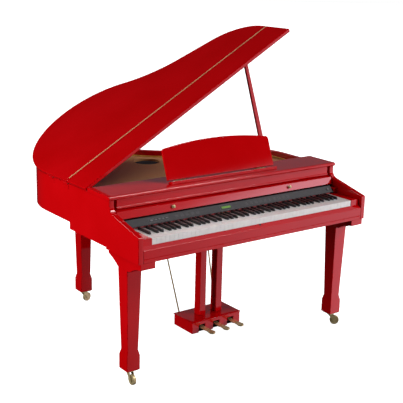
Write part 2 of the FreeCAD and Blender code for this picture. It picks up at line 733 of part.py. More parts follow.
def repeat_by_octave(body, feature_name, times):
    """Repeat a body's last pad once an octave towards the treble."""
    octave = 7 * s.white_pitch
    pattern = body.newObject("PartDesign::LinearPattern", f"{feature_name}_octaves")
    pattern.Originals = [body.Tip]
    pattern.Direction = (next(f for f in body.Origin.OriginFeatures if f.Role == "X_Axis"), [""])
    bind(pattern, "Length", octave * (times - 1))
    pattern.Occurrences = times
    body.Tip = pattern


def make_white_keys():
    """One node for each white note, with that note of every octave. A0 and C8 have no black neighbour
    on one side, so those two are drawn by themselves."""
    low, high = s.key_top - s.key_deep, s.key_top
    for group, start in NATURAL_GROUPS:
        for position, note in enumerate(group):
            index = start + position
            first = FIRST_C + index
            body = doc.addObject("PartDesign::Body", f"key_{note}")
            body.AllowCompound = True
            times = 7
            if note == "a":
                lone = white_key(position, len(group), 0, whole_left=True)
                pad("key_a_lowest", "XY", lone, low, high, body)
            if note == "b":
                first -= 7
                times = 8
            if note == "c":
                lone = white_key(position, len(group), WHITE_KEYS - 1, whole_right=True)
                pad("key_c_highest", "XY", lone, low, high, body)
            outline = white_key(position, len(group), first)
            pad(f"key_{note}_first", "XY", outline, low, high, body)
            repeat_by_octave(body, f"key_{note}", times)
            node(f"keys_{note}", body)


def make_black_keys():
    """One node for each black note: a raised front part on a lower tail."""
    low = s.key_top - s.key_deep
    top = s.key_top + s.black_rise
    front = s.key_show - s.black_long
    rear = s.pivot_y + s.key_tail
    for note, start, slot in SHARPS:
        count = 3 if start == 0 else 4
        tail = (count * s.white_pitch - (count - 1) * s.black_slot) / count
        octave_start = FIRST_C - 7 if note == "a_sharp" else FIRST_C
        group_left = keyboard_left + (octave_start + start) * s.white_pitch
        middle = group_left + (slot + 1) * tail + (slot + 0.5) * s.black_slot
        outline = Outline(rear, low).line(front, low).line(front, s.key_top + 1)
        outline.line(front + 5, top).line(s.key_show, top).line(s.key_show, s.black_tail_top)
        outline.line(rear, s.black_tail_top).close()
        body = doc.addObject("PartDesign::Body", f"key_{note}")
        body.AllowCompound = True
        half = s.black_wide / 2
        pad(f"key_{note}_first", "YZ", outline, middle - half, middle + half, body)
        repeat_by_octave(body, f"key_{note}", 8 if note == "a_sharp" else 7)
        node(f"keys_{note}", body)


def on_slope(along, out):
    """The y and z of a point on the control panel's sloping face, so far along it and out from it."""
    y = s.panel_y + along * cosine(s.panel_slope) - out * sine(s.panel_slope)
    z = s.panel_foot + s.panel_edge + along * sine(s.panel_slope) + out * cosine(s.panel_slope)
    return y, z


def slope_block(name, x, along, out):
    """A box square to the control panel's sloping face."""
    box = doc.addObject("Part::Box", name)
    for setting, (low, high) in zip(("Length", "Width", "Height"), (x, along, out)):
        bind(box, setting, as_size(high) - low)
    y, z = on_slope(as_size(along[0]), as_size(out[0]))
    place(box, Rotation(Vector(1, 0, 0), s.panel_slope.value), x[0], y, z)
    return box


def make_control_panel():
    """The black housing behind the keys with its window, its press buttons and the volume knob."""
    edge = s.panel_foot + s.panel_edge
    slope_end = s.panel_y + (s.panel_top - edge) / tangent(s.panel_slope)
    outline = Outline(s.panel_y, s.panel_foot).line(s.panel_y, edge).line(slope_end, s.panel_top)
    outline.line(s.panel_rear, s.panel_top).line(s.panel_rear, s.panel_foot).close()
    housing = pad("panel_housing", "YZ", outline, -panel_half, panel_half)
    slope_long = (s.panel_top - edge) / sine(s.panel_slope)
    volume_x = panel_half - s.volume_inset
    middle = slope_long / 2
    pockets, buttons = [], {"power_button": [], "select_buttons": []}
    wanted = [("power_button", s.power_x, 7, 5)]
    for number in range(4):
        wanted.append(("select_buttons", s.select_x + number * s.select_pitch, 6, 3.5))
    for number, (name, x, half_wide, half_high) in enumerate(wanted):
        grown = (half_wide + s.gap, half_high + s.gap)
        pockets.append(slope_block(
            f"pocket_{number}", (x - grown[0], x + grown[0]), (middle - grown[1], middle + grown[1]),
            (-s.pocket_deep, 1)))
        buttons[name].append(slope_block(
            f"button_{number}", (x - half_wide, x + half_wide),
            (middle - half_high, middle + half_high), (-s.button_deep, s.button_proud)))
    square = Rotation(Vector(1, 0, 0), s.panel_slope.value)
    y, z = on_slope(middle, -s.pocket_deep - 2)
    pockets.append(rod(
        "knob_hole", square, s.volume_shaft + s.running, volume_x, y, z, s.pocket_deep + 3))
    node("control_panel", cut("pocketed_panel", housing, *pockets))
    for name, pieces in buttons.items():
        node(name, *pieces)
    y, z = on_slope(middle, -s.pocket_deep)
    stem = rod("knob_stem", square, s.volume_shaft, volume_x, y, z, s.pocket_deep + 1)
    y, z = on_slope(middle, s.gap)
    cap = rod("knob_cap", square, s.volume_radius, volume_x, y, z, s.volume_high)
    node("volume_knob", fuse("volume_knob_solid", stem, cap))
    window = slope_block(
        "window", (s.window_x - s.window_wide / 2, s.window_x + s.window_wide / 2),
        (middle - s.window_high / 2, middle + s.window_high / 2), (0, 1.5))
    node("display_window", window)


def board_block(name, x, along, out):
    """A box square to the fallboard, measured from its top front edge."""
    box = doc.addObject("Part::Box", name)
    for setting, (low, high) in zip(("Length", "Width", "Height"), (x, along, out)):
        bind(box, setting, as_size(high) - low)
    y = s.lip_top_y + along[0] * cosine(s.board_slope) - out[0] * sine(s.board_slope)
    z = s.lip_top_z + along[0] * sine(s.board_slope) + out[0] * cosine(s.board_slope)
    place(box, Rotation(Vector(1, 0, 0), s.board_slope.value), x[0], y, z)
    return box


def make_fallboard():
    """The sliding fallboard with its lip and two brass knobs, and the rails it runs on."""
    half = inside - s.fallboard_clear
    thick = s.fallboard_thick
    board = board_block("fall_slab", (-half, half), (0, s.fallboard_long), (-thick, 0))
    outline = Outline(s.lip_top_y, s.lip_top_z).line(s.lip_foot_y, s.lip_foot_z)
    outline.line(s.lip_foot_y + s.lip_thick, s.lip_foot_z - 2)
    outline.line(s.lip_top_y + s.lip_thick, s.lip_top_z - 8).close()
    lip = pad("fall_lip", "YZ", outline, -half, half)
    node("fallboard", fuse("fallboard_solid", board, lip))
    drop = s.lip_top_z - s.lip_foot_z
    back = s.lip_top_y - s.lip_foot_y
    tilt = math.degrees(math.atan2(drop.value, back.value))
    square = Rotation(Vector(1, 0, 0), tilt)
    knob_y = s.lip_top_y - back * (s.lip_top_z - s.knob_z) / drop
    knobs = []
    for side, end in SIDES:
        middle = side * s.knob_x
        stem = rod(
            f"knob_stem_{end}", square, s.knob_stem, middle, knob_y, s.knob_z, s.knob_stem_long)
        head = rod(
            f"knob_head_{end}", square, s.knob_head, middle, knob_y, s.knob_z, s.knob_head_long)
        normal = Vector(0, -math.sin(math.radians(tilt)), math.cos(math.radians(tilt)))
        head_out = normal * s.knob_out.value
        place(
            head, square, middle, knob_y + round(head_out.y, 4),
            s.knob_z + round(head_out.z, 4))
        knobs.append(fuse(f"fall_knob_{end}", stem, head))
    node("fallboard_knobs", *knobs)
    rails = []
    for side, end in SIDES:
        x = (inside - s.rail_wide, inside) if side > 0 else (-inside, s.rail_wide - inside)
        rails.append(board_block(
            f"fall_rail_{end}", x, (s.fallboard_thick * 2, s.fallboard_long),
            (-thick - s.gap - s.rail_high, -thick - s.gap)))
    node("fallboard_rails", *rails)


def taper(name, low_wide, high_wide, x, y, low, high):
    """A square frustum that stands on its low side."""
    wedge = doc.addObject("Part::Wedge", name)
    for letter in "XZ":
        bind(wedge, f"{letter}min", -as_size(low_wide) / 2)
        bind(wedge, f"{letter}max", as_size(low_wide) / 2)
        bind(wedge, f"{letter}2min", -as_size(high_wide) / 2)
        bind(wedge, f"{letter}2max", as_size(high_wide) / 2)
    bind(wedge, "Ymin", 0)
    bind(wedge, "Ymax", as_size(high) - low)
    place(wedge, Rotation(Vector(1, 0, 0), 90), x, y, low)
    return wedge


def make_leg(name, x, y, top):
    """A square leg: a plain cap, a long taper to the neck, a flare and a foot block."""
    return fuse(
        name,
        taper(f"{name}_foot", s.leg_foot_wide, s.leg_foot_wide, x, y, s.foot_bottom, s.foot_top),
        taper(f"{name}_flare", s.leg_foot_wide, s.leg_neck_wide, x, y, s.foot_top, s.neck_z),
        taper(f"{name}_shaft", s.leg_neck_wide, s.leg_top_wide, x, y, s.neck_z, top - s.leg_cap),
        taper(f"{name}_cap", s.leg_top_wide, s.leg_top_wide, x, y, top - s.leg_cap, top),
    )


def make_legs():
    """Three legs, the knee brackets over the front two, and a caster under each."""
    stands = (
        ("bass", -leg_x, s.leg_y, s.leg_top_z, 270),
        ("treble", leg_x, s.leg_y, s.leg_top_z, 320),
        ("tail", s.tail_leg_x, s.tail_leg_y, s.rim_bottom, 15),
    )
    node("legs", *(make_leg(f"leg_{end}", x, y, top) for end, x, y, top, _ in stands))
    reach = s.leg_top_wide / 2
    outline = Outline(-s.front_reach, s.case_bottom).line(-s.front_reach, s.knee_front)
    outline.arc(s.leg_y - reach - s.knee_inset, s.leg_top_z, s.knee_front_radius, -1)
    outline.line(s.leg_y + reach + 1, s.leg_top_z)
    outline.arc(s.step_y, s.knee_rear, s.knee_rear_radius, -1)
    outline.line(s.step_y, s.case_bottom).close()
    knees = []
    for side, end in SIDES:
        middle = side * leg_x
        knees.append(pad(f"knee_{end}", "YZ", outline, middle - reach, middle + reach))
    node("knee_brackets", *knees)
    plates = []
    for end, x, y, _, heading in stands:
        plates.append(make_caster(end, x, y, heading))
    node("caster_plates", *plates)


def make_caster(end, x, y, heading):
    """A plate with a stem, a fork that swivels on the stem and a wheel that trails behind it."""
    plate_z = s.foot_bottom - s.plate_thick
    crown_top = plate_z - s.gap
    crown_low = crown_top - s.crown_thick
    half = s.plate_wide / 2
    plate = block(
        f"caster_plate_{end}", (x - half, x + half), (y - half, y + half), (plate_z, s.foot_bottom))
    stem = rod(f"caster_stem_{end}", "z", s.swivel_radius, x, y, crown_low, s.foot_bottom - crown_low)
    inner = s.wheel_wide / 2 + s.gap
    outline = Outline(-14, crown_low + 1).line(16, crown_low + 1).line(
        s.trail + s.fork_end, s.wheel_radius)
    outline.arc(s.trail - s.fork_end, s.wheel_radius, s.fork_end, -1).close()
    cheeks = []
    for name, low in (("left", -inner - s.cheek_thick), ("right", inner)):
        cheeks.append(pad(f"fork_{name}_{end}", "YZ", outline, low, low + s.cheek_thick))
    crown = rod(f"fork_crown_{end}", "z", s.crown_radius, 0, 0, crown_low, s.crown_thick)
    axle_half = inner + s.cheek_thick
    axle = rod(f"fork_axle_{end}", "x", s.axle_radius, -axle_half, s.trail, s.wheel_radius, 2 * axle_half)
    bore = rod(f"fork_bore_{end}", "z", s.swivel_radius + s.running, 0, 0, crown_low - 1,
        s.crown_thick + 4)
    fork = cut(f"fork_{end}", fuse(f"fork_solid_{end}", crown, axle, *cheeks), bore)
    where = Placement(Vector(x.value, y.value, 0), Rotation(Vector(0, 0, 1), heading - 90))
    node(f"caster_fork_{end}", fork, at=where)
    tyre = rod(
        f"wheel_tyre_{end}", "x", s.wheel_radius, -s.wheel_wide / 2, s.trail, s.wheel_radius,
        s.wheel_wide)
    hub = rod(
        f"wheel_bore_{end}", "x", s.axle_radius + s.running, -s.wheel_wide, s.trail, s.wheel_radius,
        2 * s.wheel_wide)
    node(f"caster_wheel_{end}", cut(f"wheel_{end}", tyre, hub), at=where)
    return fuse(f"caster_mount_{end}", plate, stem)


def make_lyre():
    """The pedal lyre: a head board, two posts, the pedal box, three pedals and two brass braces."""
    posts = [block(
        "lyre_head", (-s.head_half, s.head_half), (s.post_front - 20, s.post_rear + 20),
        (s.case_bottom - s.head_thick, s.case_bottom))]
    cap_top = s.lyre_top + s.lyre_cap
    for side, end in SIDES:
        x = [side * s.post_inner, side * s.post_outer]
        x = x if side > 0 else x[::-1]
        posts.append(block(
            f"lyre_post_{end}", x, (s.post_front, s.post_rear), (cap_top, s.case_bottom)))
    node("lyre_frame", fuse("lyre_frame_solid", *posts))
    half, wall = s.lyre_half, s.lyre_wall
    shell = block("box_shell", (-half, half), (s.lyre_front, s.lyre_rear), (s.lyre_foot, s.lyre_top))
    room = block(
        "box_room", (wall - half, half - wall), (s.lyre_front + wall, s.lyre_rear - wall),
        (s.lyre_foot - 1, s.lyre_top - wall))
    slots = []
    for number in range(3):
        middle = (number - 1) * s.pedal_pitch
        slots.append(block(
            f"box_slot_{number}", (middle - s.pedal_slot, middle + s.pedal_slot),
            (s.lyre_front - 1, s.lyre_front + wall + 1),
            (s.lyre_foot - 1, s.pedal_top + s.pedal_room)))
    cap = block(
        "box_cap", (-half - 4, half + 4), (s.lyre_front - 4, s.lyre_rear + 4), (s.lyre_top, cap_top))
    node("pedal_box", cut("open_box", shell, room, *slots), cap)
    make_pedals()
    rods = [rod(
        "pedal_pin", "x", s.pedal_pin, wall - half, s.pedal_pivot_y, s.pedal_top - s.pedal_thick / 2,
        2 * (half - wall))]
    for side, end in SIDES:
        rods.append(make_brace(side, end))
    node("lyre_brass_rods", *rods)


def make_brace(side, end):
    """A brass rod with a round flange at each end, from the pedal box up to the bottom board."""
    foot_y = s.lyre_rear + s.rod_radius + 0.2
    foot = Vector(side * s.rod_foot_x.value, foot_y.value, s.rod_foot_z.value)
    head_z = s.rim_bottom - s.flange_thick
    head = Vector(side * s.rod_head_x.value, s.rod_head_y.value, head_z.value)
    along = head - foot
    bar = doc.addObject("Part::Cylinder", f"brace_bar_{end}")
    bind(bar, "Radius", s.rod_radius)
    bar.Height = along.Length + 1.5
    direction = along.normalize()
    bar.Placement = Placement(foot, Rotation(Vector(0, 0, 1), direction))
    low = rod(
        f"brace_low_{end}", "y", s.flange_radius, side * s.rod_foot_x, s.lyre_rear, s.rod_foot_z - 5,
        s.flange_thick)
    high = rod(
        f"brace_high_{end}", "z", s.flange_radius, side * s.rod_head_x, s.rod_head_y, head_z,
        s.flange_thick)
    return fuse(f"brace_{end}", bar, low, high)


def make_pedals():
    """Three brass pedals, each a bar with a round tip and a boss that turns on the pin."""
    low = s.pedal_top - s.pedal_thick
    pivot_z = s.pedal_top - s.pedal_thick / 2
    for number, name in enumerate(("soft", "sostenuto", "sustain")):
        middle = (number - 1) * s.pedal_pitch
        half = s.pedal_wide / 2
        tip = s.pedal_tip_radius
        neck_y = s.pedal_tip_y + 3 * tip
        round_y = s.pedal_tip_y + tip
        outline = Outline(middle - half, s.pedal_pivot_y).line(middle - half, neck_y)
        outline.line(middle - tip, round_y).arc(middle + tip, round_y, tip, 1)
        outline.line(middle + half, neck_y).line(middle + half, s.pedal_pivot_y).close()
        bar = pad(f"pedal_bar_{name}", "XY", outline, low, s.pedal_top)
        boss = block(
            f"pedal_boss_{name}", (middle - half, middle + half),
            (s.pedal_pivot_y - s.pedal_boss, s.pedal_pivot_y + s.pedal_boss),
            (pivot_z - s.pedal_boss, pivot_z + s.pedal_boss))
        bore = rod(
            f"pedal_bore_{name}", "x", s.pedal_pin + s.running, middle - half - 1, s.pedal_pivot_y,
            pivot_z, s.pedal_wide + 2)
        node(f"pedal_{name}", cut(f"pedal_{name}_solid", fuse(f"pedal_{name}_whole", bar, boss), bore))


def settle():
    """Put every node at its place, with the origin under the middle of the whole piano's box."""
    for compound, at in nodes.values():
        compound.Placement = at
    doc.recompute()
    check()
    whole = FreeCAD.BoundBox()
    for compound, _ in nodes.values():
        whole.add(compound.Shape.optimalBoundingBox(False))
    shift = Placement(Vector(-whole.Center.x, -whole.Center.y, 0), Rotation())
    for compound, at in nodes.values():
        compound.Placement = shift * at
    doc.recompute()
    return shift.Base


def check():
    """Stop if any object failed, or a node holds no valid shape."""
    failed = [t.Label for t in doc.Objects if "Invalid" in t.State or "Error" in t.State]
    for name, (compound, _) in nodes.items():
        shape = compound.Shape
        if shape.isNull() or not shape.isValid() or not shape.Solids:
            failed.append(name)
    if failed:
        raise RuntimeError(f"failed: {failed}")


doc = FreeCAD.newDocument("piano")
s = Sheet(SIZES)
side_top = s.case_top - s.top_thick
hinge_x = -s.case_half - s.overhang - s.hinge_out
keyboard_half = WHITE_KEYS / 2 * s.white_pitch
keyboard_left = -keyboard_half
inside = s.case_half - s.side_wall
panel_half = inside - s.panel_inset
leg_x = s.case_half - s.leg_inset
prop_reach = s.case_half - s.cup_inset - hinge_x
prop_x, prop_y = prop_foot()
prop_z = s.soundboard_top + s.prop_up

make_side_panels()
make_case()
make_electronics()
make_top_panel()
make_nameboard()
make_desk()
make_lid()
make_case_hinges()
make_prop()
make_key_surround()
make_key_frame()
make_white_keys()
make_black_keys()
make_control_panel()
make_fallboard()
make_legs()
make_lyre()
origin_shift = settle()
check()
os.makedirs("parts", exist_ok=True)
for node_name, (node_object, _) in nodes.items():
    node_object.Shape.exportStep(f"parts/{node_name}.step")
print(len(nodes), "nodes, moved by", [round(c, 4) for c in origin_shift])
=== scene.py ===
import json
import math

import bmesh
import bpy
from mathutils import Matrix, Vector

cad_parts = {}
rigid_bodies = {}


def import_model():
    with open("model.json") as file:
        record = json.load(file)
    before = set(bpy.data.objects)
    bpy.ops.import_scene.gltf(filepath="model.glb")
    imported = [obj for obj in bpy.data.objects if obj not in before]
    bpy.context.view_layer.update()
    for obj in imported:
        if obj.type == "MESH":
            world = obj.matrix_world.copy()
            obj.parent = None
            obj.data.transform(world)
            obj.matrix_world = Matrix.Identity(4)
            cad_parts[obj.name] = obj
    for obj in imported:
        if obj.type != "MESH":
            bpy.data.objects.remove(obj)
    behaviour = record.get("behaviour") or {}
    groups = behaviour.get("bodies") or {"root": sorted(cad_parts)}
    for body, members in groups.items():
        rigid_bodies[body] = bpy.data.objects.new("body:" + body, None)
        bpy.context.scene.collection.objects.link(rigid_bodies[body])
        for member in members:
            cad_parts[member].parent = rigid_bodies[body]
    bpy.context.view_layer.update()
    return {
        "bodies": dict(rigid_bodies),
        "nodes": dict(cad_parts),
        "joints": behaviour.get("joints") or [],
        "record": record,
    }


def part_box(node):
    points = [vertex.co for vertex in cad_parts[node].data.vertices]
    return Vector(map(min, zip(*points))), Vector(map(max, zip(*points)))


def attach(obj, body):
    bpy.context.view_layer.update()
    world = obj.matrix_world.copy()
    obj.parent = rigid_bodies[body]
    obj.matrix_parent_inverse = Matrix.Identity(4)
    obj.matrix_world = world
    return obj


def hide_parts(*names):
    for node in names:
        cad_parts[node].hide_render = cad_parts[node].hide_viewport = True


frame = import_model()
scene = bpy.context.scene

# ---------------------------------------------------------------- studio
# A white paper floor that runs out of sight, a white surround behind it, two soft suns from above
# and two panels of light, at the bass side and in front. Glossy boards mirror a dim room with a
# low front window, a front lamp, a high window and a far wall.
scene.view_settings.view_transform = "Standard"
camera = bpy.data.objects.new("camera", bpy.data.cameras.new("camera"))
camera.data.lens = 81.66
camera.data.sensor_width = 36
camera.data.clip_end = 100
right, up, ahead = (0.8033, -0.5952, 0.0236), (0.1358, 0.2216, 0.9656), (0.5799, 0.7724, -0.2588)
facing = Matrix((right, up, [-part for part in ahead])).transposed().to_4x4()
eye = (-2.7213, -3.7863, 1.9218)
camera.matrix_world = Matrix.Translation(eye) @ facing
scene.collection.objects.link(camera)
scene.camera = camera


def paint(name):
    """A new material and its nodes, links and shader."""
    made = bpy.data.materials.new(name)
    made.use_nodes = True
    tree = made.node_tree
    return made, tree.nodes, tree.links, tree.nodes["Principled BSDF"]


def mottle(nodes, links, scale, detail, low, high, stretch=(1, 1, 1), turn=(0, 0, 0)):
    """Noise on the piece's own coordinates, ramped from one colour to another."""
    place = nodes.new("ShaderNodeTexCoord")
    mapping = nodes.new("ShaderNodeMapping")
    mapping.inputs["Scale"].default_value = stretch
    mapping.inputs["Rotation"].default_value = turn
    noise = nodes.new("ShaderNodeTexNoise")
    noise.inputs["Scale"].default_value = scale
    noise.inputs["Detail"].default_value = detail
    ramp = nodes.new("ShaderNodeValToRGB")
    ramp.color_ramp.elements[0].position = 0.35
    ramp.color_ramp.elements[1].position = 0.65
    ramp.color_ramp.elements[0].color = (*low, 1)
    ramp.color_ramp.elements[1].color = (*high, 1)
    links.new(place.outputs["Object"], mapping.inputs["Vector"])
    links.new(mapping.outputs["Vector"], noise.inputs["Vector"])
    links.new(noise.outputs["Fac"], ramp.inputs["Fac"])
    return noise, ramp


def relief(nodes, links, shader, height, strength, distance):
    """Lets a height output raise the surface."""
    bump = nodes.new("ShaderNodeBump")
    bump.inputs["Strength"].default_value = strength
    bump.inputs["Distance"].default_value = distance
    links.new(height, bump.inputs["Height"])
    links.new(bump.outputs["Normal"], shader.inputs["Normal"])
    return bump


def mottled(name, scale, detail, low, high, roughness, bump=None, sockets=()):
    """A material coloured by noise, which also raises it by bump's strength and distance."""
    made, nodes, links, shader = paint(name)
    noise, ramp = mottle(nodes, links, scale, detail, low, high)
    links.new(ramp.outputs["Color"], shader.inputs["Base Color"])
    shader.inputs["Roughness"].default_value = roughness
    for socket, value in dict(sockets).items():
        shader.inputs[socket].default_value = value
    if bump:
        relief(nodes, links, shader, noise.outputs["Fac"], *bump)
    return made


def stage_piece(name, mesh_maker, material, **shown):
    """A piece of the studio, with its visibility settings."""
    bm = bmesh.new()
    mesh_maker(bm)
    mesh = bpy.data.meshes.new(name)
    bm.to_mesh(mesh)
    bm.free()
    mesh.materials.append(material)
    made = bpy.data.objects.new(name, mesh)
    scene.collection.objects.link(made)
    for setting, value in shown.items():
        setattr(made, setting, value)
    return made


paper = mottled("white_paper", 40, 3, (0.86, 0.86, 0.86), (0.9, 0.9, 0.9), 0.9, sockets={
    "Specular IOR Level": 0.0, "Emission Color": (1, 1, 1, 1), "Emission Strength": 0.95})
paper.cycles.emission_sampling = "NONE"
stage_piece(
    "floor", lambda bm: bmesh.ops.create_grid(bm, x_segments=1, y_segments=1, size=40), paper,
    visible_glossy=False, visible_diffuse=False)

surround = bpy.data.materials.new("surround")
surround.use_nodes = True
surround.node_tree.nodes.clear()
glow = surround.node_tree.nodes.new("ShaderNodeEmission")
glow.inputs["Strength"].default_value = 1.0
output = surround.node_tree.nodes.new("ShaderNodeOutputMaterial")
surround.node_tree.links.new(glow.outputs["Emission"], output.inputs["Surface"])
stage_piece(
    "surround", lambda bm: bmesh.ops.create_icosphere(bm, subdivisions=4, radius=38), surround,
    visible_glossy=False, visible_diffuse=False, visible_shadow=False, visible_transmission=False)

world = bpy.data.worlds.new("room")
scene.world = world
world.use_nodes = True
nodes, links = world.node_tree.nodes, world.node_tree.links
sky = nodes["Background"]
direction = nodes.new("ShaderNodeTexCoord")
axes = nodes.new("ShaderNodeSeparateXYZ")
links.new(direction.outputs["Generated"], axes.inputs["Vector"])


def math_of(kind, *values):
    """A maths node's output in the tree that is being built; numbers become constants."""
    made = nodes.new("ShaderNodeMath")
    made.operation = kind
    for socket, value in zip(made.inputs, values):
        if isinstance(value, (int, float)):
            socket.default_value = value
        else:
            links.new(value, socket)
    return made.outputs["Value"]


def spread(value, start, end, low=0.0, high=1.0):
    """Maps start to low and end to high."""
    made = nodes.new("ShaderNodeMapRange")
    ends = {"From Min": start, "From Max": end, "To Min": low, "To Max": high}
    for socket, number in ends.items():
        made.inputs[socket].default_value = number
    links.new(value, made.inputs["Value"])
    return made.outputs["Result"]


def chain(kind, first, *others):
    """Adds or multiplies several values."""
    for other in others:
        first = math_of(kind, first, other)
    return first


x, y, z = (axes.outputs[axis] for axis in "XYZ")
window_head = spread(math_of("MULTIPLY_ADD", x, 0.27, z), 0.521, 0.505)
low_window = chain(
    "MULTIPLY", spread(y, -0.35, -0.55), spread(z, -0.64, -0.5), window_head,
    spread(x, 0.42, 0.72, 0.0, 1.5))
aim = nodes.new("ShaderNodeVectorMath")
aim.operation = "DOT_PRODUCT"
links.new(direction.outputs["Generated"], aim.inputs[0])
aim.inputs[1].default_value = (0.6, -0.2, 0.775)
high_window = spread(aim.outputs["Value"], 0.92, 0.965, 0.0, 0.7)
far_wall = chain(
    "MULTIPLY", spread(z, 0.06, 0.14), spread(z, 0.50, 0.44), spread(y, 0.3, 0.5),
    spread(x, 0.25, 0.4, 0.0, 0.15))
front_lamp = chain(
    "MULTIPLY", spread(z, 0.342, 0.312, 0.0, 3.4), spread(z, 0.24, 0.28), spread(y, -0.5, -0.6),
    spread(x, 0.5, 0.58), spread(x, 0.82, 0.74))
dim_room = 0.012
links.new(
    chain("ADD", low_window, high_window, far_wall, front_lamp, dim_room), sky.inputs["Strength"])
sky.inputs["Color"].default_value = (1, 0.88, 1.02, 1)


def lamp(kind, name, power, towards, at=(0, 0, 0), **settings):
    """A light that shines from a direction, hidden from reflections when it is an area."""
    made = bpy.data.objects.new(name, bpy.data.lights.new(name, kind))
    made.data.energy = power
    for setting, value in settings.items():
        setattr(made.data, setting, value)
    made.location = at
    made.rotation_mode = "QUATERNION"
    made.rotation_quaternion = Vector(towards).to_track_quat("Z", "Y")
    made.visible_glossy = kind == "SUN"
    scene.collection.objects.link(made)
    return made


lamp("SUN", "top_light", 0.95, (0.5, -0.42, 0.74), angle=math.radians(18))
lamp("SUN", "over_light", 1.0, (-0.45, 0.5, 0.74), angle=math.radians(24))
lamp("AREA", "side_box", 60, (-2.6, 0, 0.35), (-2.9, 0.0, 1.1), size=1.4)
lamp("AREA", "front_box", 145, (2.5, -4.4, 0.7), (2.5, -5.0, 1.5), size=2.2)

# ---------------------------------------------------------------- case sides and rim
# The bass and treble sides with their keyboard arms, and the rim bent round the tail. Fibreboard
# under a thick polished coat of red polyester; every edge was rounded before it was sprayed.
red = mottled(
    "red_lacquer", 2.2, 3, (0.50, 0.0, 0.001), (0.57, 0.001, 0.003), 0.42, sockets={
        "Specular IOR Level": 0.0, "Coat Weight": 1.0, "Coat Roughness": 0.035, "Coat IOR": 1.5})


def pitted(made, scale, detail, strength, distance):
    """Raises a material's surface by a finer noise than its colour has."""
    tree = made.node_tree
    fine = tree.nodes.new("ShaderNodeTexNoise")
    fine.inputs["Scale"].default_value = scale
    fine.inputs["Detail"].default_value = detail
    tree.links.new(tree.nodes["Texture Coordinate"].outputs["Object"], fine.inputs["Vector"])
    return relief(
        tree.nodes, tree.links, tree.nodes["Principled BSDF"], fine.outputs["Fac"], strength,
        distance)


orange_peel = pitted(red, 260, 1, 0.05, 0.0004)
red.node_tree.links.new(
    orange_peel.outputs["Normal"], red.node_tree.nodes["Principled BSDF"].inputs["Coat Normal"])


def solid_of(node):
    """A merged copy of a CAD node's solid, with flat faces in one piece."""
    bm = bmesh.new()
    bm.from_mesh(frame["nodes"][node].data)
    bmesh.ops.remove_doubles(bm, verts=bm.verts, dist=2e-6)
    bmesh.ops.dissolve_limit(
        bm, angle_limit=math.radians(0.3), verts=bm.verts, edges=bm.edges,
        use_dissolve_boundaries=False)
    return bm


def ease(bm, radius, steps=2, sharp=32, where=None):
    """Rounds the edges that are sharper than an angle, or those of them a test picks."""
    edges = [
        e for e in bm.edges
        if len(e.link_faces) == 2 and e.calc_face_angle() > math.radians(sharp)
        and (where is None or where((e.verts[0].co + e.verts[1].co) / 2))
    ]
    bmesh.ops.bevel(
        bm, geom=edges, offset=radius, offset_type="OFFSET", segments=steps, profile=0.5,
        affect="EDGES", clamp_overlap=True, material=-1)
    for e in bm.edges:
        e.smooth = len(e.link_faces) != 2 or e.calc_face_angle() < math.radians(50)


def fit(bm, name, material, body, slot, *stands_for):
    """Makes the mesh a smooth piece that rides on a body."""
    mesh = bpy.data.meshes.new(name)
    bm.to_mesh(mesh)
    bm.free()
    mesh.materials.append(material)
    mesh.shade_smooth()
    made = bpy.data.objects.new(name, mesh)
    scene.collection.objects.link(made)
    flat = made.modifiers.new("even_faces", "WEIGHTED_NORMAL")
    flat.weight = 80
    flat.keep_sharp = True
    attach(made, body)
    if stands_for:
        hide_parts(*stands_for)
    return made


def eased(node, radius, material, slot, body="root", steps=2, sharp=32, where=None):
    """The node's own solid with its edges rounded, as a new piece that stands for it."""
    bm = solid_of(node)
    ease(bm, radius, steps, sharp, where)
    return fit(bm, f"{node}_piece", material, body, slot, node)


# The joint between side and rim stays sharp, and so does the foot that stands on a bracket.
joint_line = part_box("bent_rim")[0].y
foot_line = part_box("keybed")[0].z + 0.012
for node in ("bass_side_panel", "treble_side_panel"):
    eased(node, 0.0028, red, "red_lacquer", steps=3,
          where=lambda p: p.y < joint_line - 0.001 and p.z > foot_line)
eased("bent_rim", 0.0024, red, "red_lacquer", where=lambda p: p.y > joint_line + 0.001)

# ---------------------------------------------------------------- boards inside the case
# The keybed, the bottom board, two cross beams and the frame under the keys: raw particle board
# with veneered faces, glued and screwed between the sides, and seen only from below.
board = mottled(
    "plain_board", 900, 4, (0.20, 0.13, 0.075), (0.42, 0.30, 0.19), 0.8, (0.25, 0.0004))
for node in ("keybed", "bottom_board", "case_beams", "key_frame"):
    eased(node, 0.0008, board, "plain_wood", steps=1)

# ---------------------------------------------------------------- soundboard and trim
# A varnished brown board lies in the well behind the keyboard, its grain along the bass side.
# A narrow gilt moulding hides the gap between the board and the rim.
spruce, nodes, links, shader = paint("soundboard_veneer")
place = nodes.new("ShaderNodeTexCoord")
mapping = nodes.new("ShaderNodeMapping")
mapping.inputs["Rotation"].default_value = (0, 0, math.radians(28))
mapping.inputs["Scale"].default_value = (1, 0.06, 1)
grain = nodes.new("ShaderNodeTexWave")
grain.wave_type = "BANDS"
grain.bands_direction = "X"
grain.inputs["Scale"].default_value = 70
grain.inputs["Distortion"].default_value = 3.5
grain.inputs["Detail"].default_value = 3
grain.inputs["Detail Scale"].default_value = 2.0
ramp = nodes.new("ShaderNodeValToRGB")
ramp.color_ramp.elements[0].color = (0.44, 0.21, 0.08, 1)
ramp.color_ramp.elements[1].color = (0.62, 0.34, 0.15, 1)
links.new(place.outputs["Object"], mapping.inputs["Vector"])
links.new(mapping.outputs["Vector"], grain.inputs["Vector"])
links.new(grain.outputs["Fac"], ramp.inputs["Fac"])
links.new(ramp.outputs["Color"], shader.inputs["Base Color"])
shader.inputs["Roughness"].default_value = 0.5
shader.inputs["Specular IOR Level"].default_value = 0.25
relief(nodes, links, shader, grain.outputs["Fac"], 0.06, 0.0003)
